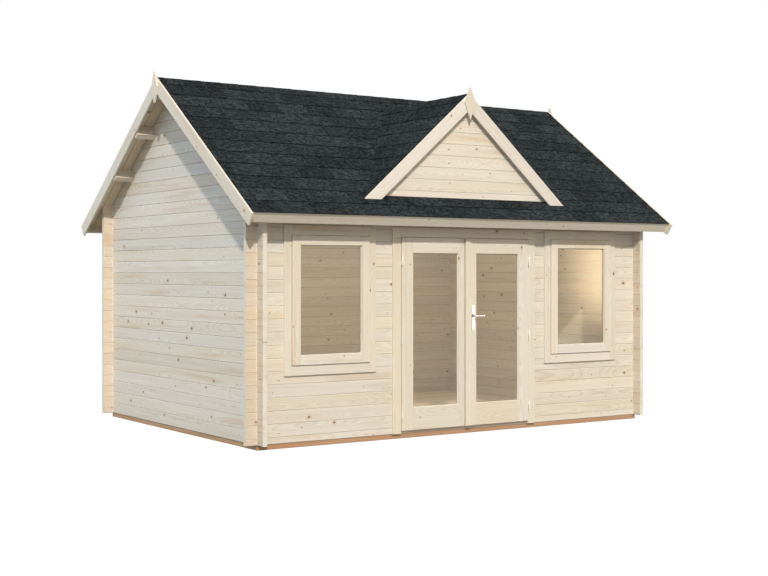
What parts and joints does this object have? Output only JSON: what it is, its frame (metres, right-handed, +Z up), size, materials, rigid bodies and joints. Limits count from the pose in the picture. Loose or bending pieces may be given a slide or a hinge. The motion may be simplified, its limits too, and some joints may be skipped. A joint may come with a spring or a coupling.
{
  "type": "log cabin",
  "caption": "Small garden log cabin of interlocked square logs with a pitched shingle roof, a gabled dormer, two windows and glazed double doors that swing outward.",
  "frame": {"origin": "ground level, under the middle of the cabin's plan", "axes": "+X along the front to the right as seen from outside, +Y from the front to the back, +Z up"},
  "size_m": [4.968, 3.87, 3.4486],
  "materials": {
    "wall_logs": "planed spruce, untreated",
    "planed_joinery": "planed spruce, untreated",
    "roof_timber": "planed spruce, untreated",
    "floor_boards": "planed spruce, untreated",
    "treated_timber": "pressure-treated, brown",
    "bitumen_shingle": "mineral granules on bitumen felt",
    "glass": "clear float glass",
    "zinc_steel": "zinc-plated",
    "satin_aluminium": "satin"
  },
  "bodies": {
    "root": {"long_bearers": "treated_timber", "cross_bearers": "treated_timber", "floor_boards": "floor_boards", "front_wall_even_logs": "wall_logs", "front_wall_odd_logs": "wall_logs", "back_wall_even_logs": "wall_logs", "back_wall_odd_logs": "wall_logs", "left_wall_even_logs": "wall_logs", "left_wall_odd_logs": "wall_logs", "right_wall_even_logs": "wall_logs", "right_wall_odd_logs": "wall_logs", "ridge_beam": "roof_timber", "purlins": "roof_timber", "front_roof_boards": "roof_timber", "back_roof_boards": "roof_timber", "front_shingles": "bitumen_shingle", "back_shingles": "bitumen_shingle", "ridge_shingles": "bitumen_shingle", "eave_fascias": "planed_joinery", "bargeboards": "planed_joinery", "gable_ornaments": "planed_joinery", "dormer_cladding": "planed_joinery", "dormer_roof_boards": "roof_timber", "dormer_shingles": "bitumen_shingle", "dormer_bargeboards": "planed_joinery", "dormer_ornament": "planed_joinery", "door_jambs": "planed_joinery", "door_head_and_sill": "planed_joinery", "door_side_casings": "planed_joinery", "door_head_casings": "planed_joinery", "frame_hinges": "zinc_steel", "window_frames": "planed_joinery", "window_casings": "planed_joinery", "window_sashes": "planed_joinery", "window_glass": "glass"},
    "left_door": {"left_leaf_frame": "planed_joinery", "left_leaf_glass": "glass", "left_leaf_hinges": "zinc_steel"},
    "right_door": {"right_leaf_frame": "planed_joinery", "right_leaf_glass": "glass", "right_leaf_hinges": "zinc_steel", "meeting_strip": "planed_joinery", "handle_plates": "satin_aluminium"},
    "lever": {"lever_handle": "satin_aluminium"}
  },
  "joints": [
    {"name": "left_door_hinge", "type": "hinge", "parent": "root", "child": "left_door", "pos_m": [-0.7575, -1.663, 0.96], "axis": [0, 0, -1], "range_deg": [0, 160]},
    {"name": "right_door_hinge", "type": "hinge", "parent": "root", "child": "right_door", "pos_m": [0.7575, -1.663, 0.96], "axis": [0, 0, 1], "range_deg": [0, 160]},
    {"name": "lever_turn", "type": "hinge", "parent": "right_door", "child": "lever", "pos_m": [0.064, -1.633, 1.12], "axis": [0, 1, 0], "range_deg": [0, 45], "stiffness_Nm_per_rad": 1.5, "springref_deg": -17.19}
  ]
}
